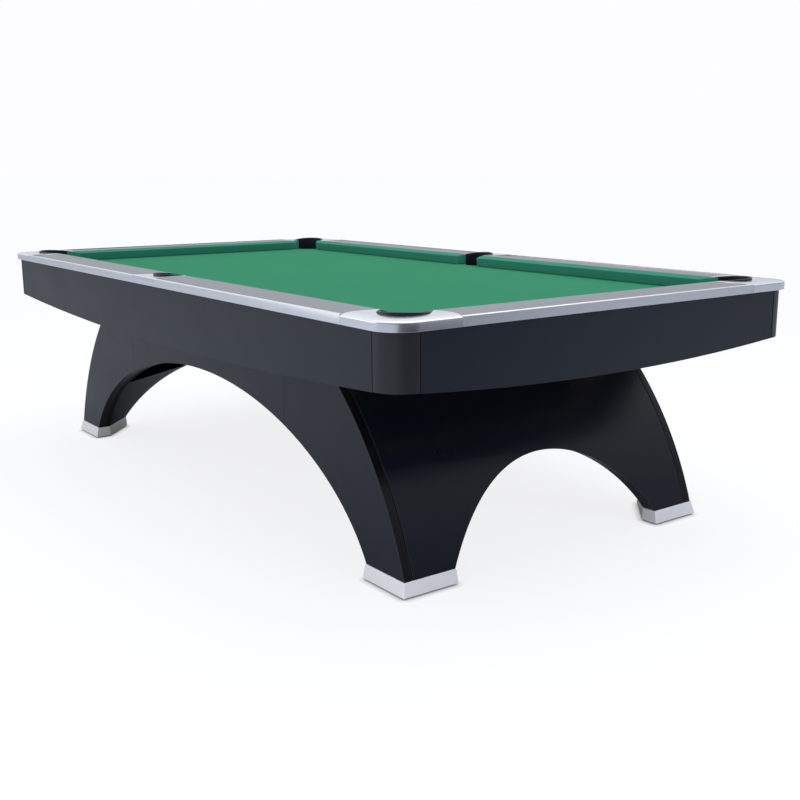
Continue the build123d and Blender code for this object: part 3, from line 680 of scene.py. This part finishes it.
def shouldered_casting(name, sign_x, sign_y):
    """A corner casting whose top rounds down in a soft shoulder along its outer edge."""
    node = "corner_casting_" + name
    low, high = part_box(node)
    edge = Vector((max(abs(low.x), abs(high.x)), max(abs(low.y), abs(high.y))))
    shape = copied_shape(node)
    round_sharp_edges(shape, CASTING_EDGE_RADIUS, steps=3)
    shape.normal_update()
    cut_count = math.ceil((CASTING_CORNER + SHOULDER_WIDTH) / SHOULDER_CUT)
    for axis, sign in ((0, sign_x), (1, sign_y)):
        normal = Vector((0, 0, 0))
        normal[axis] = 1
        for index in range(1, cut_count):
            cut_top(shape, high.z, normal * sign * (edge[axis] - SHOULDER_CUT * index), normal)
    for vertex in shape.verts:
        if vertex.co.z > high.z - CASTING_ROUND:
            inset = Vector((edge.x - vertex.co.x * sign_x, edge.y - vertex.co.y * sign_y))
            distance = min(inset)
            if max(inset) < CASTING_CORNER:
                distance = CASTING_CORNER - (Vector((CASTING_CORNER, CASTING_CORNER)) - inset).length
            share = min(1.0, max(0.0, 1.0 - distance / SHOULDER_WIDTH))
            vertex.co.z -= SHOULDER_DROP * share ** 2
    piece = link_piece(smooth_mesh(shape, node + "_look", CREASE), node + "_look", "casting")
    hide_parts(node)
    keep_faces_flat(piece)


TRIM_EDGE_RADIUS = 0.9 * MM
LINER_EDGE_RADIUS = 2.6 * MM


def make_rails():
    """Caps, castings, metal trim and pocket liners."""
    for name, signs in QUADRANTS.items():
        crowned_cap("rail_cap_" + name, 1, "cap_x")
        shouldered_casting(name, *signs)
    for name in ("left", "right"):
        crowned_cap("rail_cap_end_" + name, 0, "cap_y")
        rounded_copy("edge_trim_" + name, "trim_y", TRIM_EDGE_RADIUS)
    for name in ("front", "back"):
        rounded_copy("edge_trim_" + name, "trim_x", TRIM_EDGE_RADIUS)
        rounded_copy("side_casting_" + name, "casting", CASTING_EDGE_RADIUS)
    for node in ("corner_liners", "side_liners"):
        rounded_copy(node, "liner", LINER_EDGE_RADIUS, steps=4)


# ---- Aprons, base and feet ----
APRON_EDGE_RADIUS = 1.2 * MM
APRON_SEAM_RADIUS = 1.8 * MM
CORNER_SEAM_RADIUS = 2.0 * MM
PANEL_EDGE_RADIUS = 1.2 * MM
END_PANEL_EDGE_RADIUS = 1.5 * MM
BOARD_EDGE_RADIUS = 1.0 * MM
FOOT_EDGE_RADIUS = 1.0 * MM
SHOE_EDGE_RADIUS = 2.4 * MM
SIDEWAYS = 0.5                # a side panel's wide faces look along Y more than this


def band_edges(panel):
    """Gives a side panel's narrow edges a black edge band."""
    band_index = len(panel.data.materials)
    panel.data.materials.append(LOOKS["edge_band"])
    for polygon in panel.data.polygons:
        if abs(polygon.normal.y) < SIDEWAYS:
            polygon.material_index = band_index


def make_apron(name):
    """An apron with painted highlight lines along its long edges and painted shade in the seams at its ends.
    """
    node = "apron_" + name
    apron_looks_and_painted_edges = ["apron", "panel_edge", "seam_edge"]
    shape = copied_shape(node)
    # the upright seam edges are painted near-black: painted shade in the seams
    round_sharp_edges(shape, APRON_SEAM_RADIUS, 2, is_upright, apron_looks_and_painted_edges.index("seam_edge"))
    round_sharp_edges(
        shape, APRON_EDGE_RADIUS, 3, lambda edge: not is_upright(edge), apron_looks_and_painted_edges.index("panel_edge")
    )
    piece = link_piece(smooth_mesh(shape, node + "_look", CREASE), node + "_look", "apron")
    # both edge looks are painted: a painted highlight along the long edges and painted shade in the end seams
    for finish in apron_looks_and_painted_edges[1:]:
        piece.data.materials.append(LOOKS[finish])
    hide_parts(node)
    keep_faces_flat(piece)


def make_panel(node, look, radius):
    """A panel of the base, whose rounded edges are painted a little paler than the panel: a painted
    highlight.
    """
    return rounded_copy(node, look, radius, edge_look="dark_edge")


def make_lower_parts():
    """Aprons, base, shoes and levelling feet."""
    for name in ("front", "back", "left", "right"):
        make_apron(name)
    # all of the corner pieces' rounded edges are painted near-black: painted shade along their seams
    rounded_copy("apron_corners", "apron_corner", CORNER_SEAM_RADIUS, edge_look="seam_edge")
    for name in QUADRANTS:
        band_edges(make_panel("leg_side_" + name, "base_panel", PANEL_EDGE_RADIUS))
        # the shoe's rounded edges get a paler, non-metal material: a painted highlight
        rounded_copy("foot_shoe_" + name, "shoe", SHOE_EDGE_RADIUS, steps=4, edge_look="shoe_edge")
        foot = "levelling_foot_" + name
        rounded_copy(foot, "zinc", FOOT_EDGE_RADIUS, body="foot_" + name)
    for name in ("front", "back"):
        make_panel("bridge_panel_" + name, "base_panel", PANEL_EDGE_RADIUS)
    for name in ("left", "right"):
        make_panel("end_panel_" + name, "end_panel", END_PANEL_EDGE_RADIUS)
    rounded_copy("side_boards", "inner_board", BOARD_EDGE_RADIUS)


HIDDEN_LOOKS = {
    "slate_left": "slate",
    "slate_centre": "slate",
    "slate_right": "slate",
    "slate_backing": "plywood",
    "long_beams": "beam_x",
    "cross_beams": "beam_y",
    "sub_rails": "hardwood",
    "pocket_cups": "cup",
    "apron_brackets": "bracket",
    "rail_bolts": "zinc",
    "leg_webs": "inner_board",
    "foot_blocks": "inner_board",
}


# ---- Studio ----
CAMERA_PLACE = Vector((3.4243, -2.2494, 1.1592))
CAMERA_AZIMUTH = math.radians(53.50)
CAMERA_TILT = math.radians(-12.264)
CAMERA_ROLL = -0.0041
CAMERA_LENS = 47.49           # on a sensor 36 wide
CAMERA_SENSOR = 36.0
CAMERA_REACH = 1000.0


def make_camera():
    """A camera at the front right corner, a little above the table."""
    level = math.cos(CAMERA_TILT)
    along_x = -math.sin(CAMERA_AZIMUTH) * level
    along_y = math.cos(CAMERA_AZIMUTH) * level
    ahead = Vector((along_x, along_y, math.sin(CAMERA_TILT)))
    flat_right = ahead.cross(Vector((0, 0, 1))).normalized()
    flat_up = flat_right.cross(ahead)
    right = flat_right * math.cos(CAMERA_ROLL) + flat_up * math.sin(CAMERA_ROLL)
    up = flat_up * math.cos(CAMERA_ROLL) - flat_right * math.sin(CAMERA_ROLL)
    turn = Matrix((right, up, -ahead)).transposed().to_4x4()
    data = bpy.data.cameras.new("camera")
    data.lens = CAMERA_LENS
    data.sensor_width = CAMERA_SENSOR
    data.clip_end = CAMERA_REACH
    camera = bpy.data.objects.new("camera", data)
    camera.matrix_world = Matrix.Translation(CAMERA_PLACE) @ turn
    bpy.context.scene.collection.objects.link(camera)
    bpy.context.scene.camera = camera


WHITE = (1.0, 1.0, 1.0)
LIGHTS = {    # place, aimed at, size, watts, colour, whether reflections show it
    "overhead": ((0.0, 1.1, 3.2), (0.0, 0.0, 0.8), (4.5, 2.4), 24.0, WHITE, True),
    "front_left": ((-2.6, -4.6, 1.9), (-0.6, -0.6, 0.6), (3.0, 2.0), 25.0, WHITE, True),
    "fill": ((4.6, 0.6, 2.0), (0.0, 0.2, 0.8), (2.5, 2.0), 46.0, (0.70, 0.80, 1.25), False),
    "cool_fill": ((0.3, -4.8, 1.7), (0.3, 0.6, 0.8), (3.0, 1.5), 42.0, (0.65, 0.78, 1.25), False),
    "low_fill": ((3.6, -3.1, 0.8), (1.2, -0.5, 0.1), (1.6, 1.2), 22.0, (1.0, 0.97, 0.92), False),
}


def soft_light(name, place, target, size, power, colour, in_reflections):
    """A wide rectangular light aimed at a place on the table."""
    data = bpy.data.lights.new(name, "AREA")
    data.shape = "RECTANGLE"
    data.size, data.size_y = size
    data.energy = power
    data.color = colour
    light = bpy.data.objects.new(name, data)
    light.location = place
    light.rotation_euler = (Vector(target) - Vector(place)).to_track_quat("-Z", "Y").to_euler()
    light.visible_glossy = in_reflections
    bpy.context.scene.collection.objects.link(light)


ROOM_FAR = 1.0                # brightness of the room behind the table, as light and reflections see it
ROOM_NEAR = 0.03              # and of its dark side, behind the camera's right
ROOM_ZENITH = 0.7             # added overhead
HORIZON_DIM = 0.55            # the room's walls are darker low down
HORIZON_HEIGHT = 0.30
DARK_SIDE = (0.93, -0.36, 0.0)
ROOM_TINT = (0.93, 0.965, 1.03, 1.0)
BACKDROP_WHITE = (0.985, 0.985, 1.0, 1.0)


def make_world():
    """A white room for the camera; for light and reflections, a soft room with one darker side."""
    world = bpy.data.worlds.new("studio")
    bpy.context.scene.world = world
    world.use_nodes = True
    world.node_tree.nodes.clear()
    output = add(world, "ShaderNodeOutputWorld", {})
    direction = add(world, "ShaderNodeTexCoord", {}).outputs["Generated"]
    sides = {0: direction, 1: Vector(DARK_SIDE).normalized()}
    facing = add(world, "ShaderNodeVectorMath", sides, operation="DOT_PRODUCT").outputs["Value"]
    ranges = {"Value": facing, "From Min": -1.0, "From Max": 1.0, "To Min": ROOM_FAR, "To Max": ROOM_NEAR}
    around = add(world, "ShaderNodeMapRange", ranges).outputs["Result"]
    height = add(world, "ShaderNodeSeparateXYZ", {"Vector": direction}).outputs["Z"]
    above = combined(world, combined(world, height, height, "MULTIPLY"), ROOM_ZENITH, "MULTIPLY")
    rising = {"Value": height, "From Max": HORIZON_HEIGHT, "To Min": HORIZON_DIM, "To Max": 1.0}
    lifted = add(world, "ShaderNodeMapRange", rising).outputs["Result"]
    level = combined(world, combined(world, around, lifted, "MULTIPLY"), above)
    white = add(world, "ShaderNodeBackground", {"Color": BACKDROP_WHITE}).outputs["Background"]
    room = add(world, "ShaderNodeBackground", {"Color": ROOM_TINT, "Strength": level}).outputs["Background"]
    seen = add(world, "ShaderNodeLightPath", {}).outputs["Is Camera Ray"]
    mix = add(world, "ShaderNodeMixShader", {"Fac": seen, 1: room, 2: white}).outputs["Shader"]
    world.node_tree.links.new(mix, output.inputs["Surface"])


FLOOR_HALF = 150.0
FLOOR_WHITE = (0.60, 0.62, 0.66)
FLOOR_DARK = (0.03, 0.03, 0.035)
FLOOR_PATCH = (6.5, -0.5, 0.0)    # a dark patch of floor beyond the camera, as light and reflections see it
FLOOR_PATCH_EDGE = (4.3, 3.2)     # where it starts and where it is darkest, from its middle
FLOOR_GLOW = (0.82, 0.82, 0.8282, 1.0)     # the part of the floor's white that broad shadows don't dim
FLOOR_SHADE = (0.19, 0.19, 0.19, 1.0)      # the part that shows them
CONTACT_REACH = 0.025         # how near something has to stand to darken the glow too


def make_floor():
    """A pale floor whose shadows stay light for the camera, as on a white studio sweep."""
    material = new_material("floor", {"Roughness": 0.7, "Specular IOR Level": 0.1})
    ends = {0: places(material), 1: FLOOR_PATCH}
    reach = add(material, "ShaderNodeVectorMath", ends, operation="DISTANCE").outputs["Value"]
    start, full = FLOOR_PATCH_EDGE
    dimming = {"Value": reach, "From Min": start, "From Max": full, "To Min": NOISE_LOW, "To Max": NOISE_HIGH}
    share = add(material, "ShaderNodeMapRange", dimming, interpolation_type="SMOOTHSTEP").outputs["Result"]
    wire(material, "Base Color", blend_colour(material, share, FLOOR_WHITE, FLOOR_DARK))
    openness = add(material, "ShaderNodeAmbientOcclusion", {"Distance": CONTACT_REACH}).outputs["AO"]
    emission = {"Color": FLOOR_GLOW, "Strength": openness}
    glow = add(material, "ShaderNodeEmission", emission).outputs["Emission"]
    shading = add(material, "ShaderNodeBsdfDiffuse", {"Color": FLOOR_SHADE}).outputs["BSDF"]
    shown = add(material, "ShaderNodeAddShader", {0: glow, 1: shading}).outputs["Shader"]
    seen = add(material, "ShaderNodeLightPath", {}).outputs["Is Camera Ray"]
    tree = material.node_tree
    plain = tree.nodes["Principled BSDF"].outputs["BSDF"]
    mix = add(material, "ShaderNodeMixShader", {"Fac": seen, 1: plain, 2: shown}).outputs["Shader"]
    tree.links.new(mix, tree.nodes["Material Output"].inputs["Surface"])
    mesh = bpy.data.meshes.new("floor")
    corners = [(-1, -1), (1, -1), (1, 1), (-1, 1)]
    mesh.from_pydata([(x * FLOOR_HALF, y * FLOOR_HALF, 0) for x, y in corners], [], [(0, 1, 2, 3)])
    mesh.materials.append(material)
    floor = bpy.data.objects.new("floor", mesh)
    bpy.context.scene.collection.objects.link(floor)


def make_studio():
    make_floor()
    make_world()
    make_camera()
    for name, settings in LIGHTS.items():
        soft_light(name, *settings)
    bpy.context.scene.view_settings.view_transform = "Standard"


make_cushions()
make_bed_cloth()
make_rails()
make_lower_parts()
for node_name, hidden_look in HIDDEN_LOOKS.items():
    finish_node(node_name, hidden_look)
make_studio()
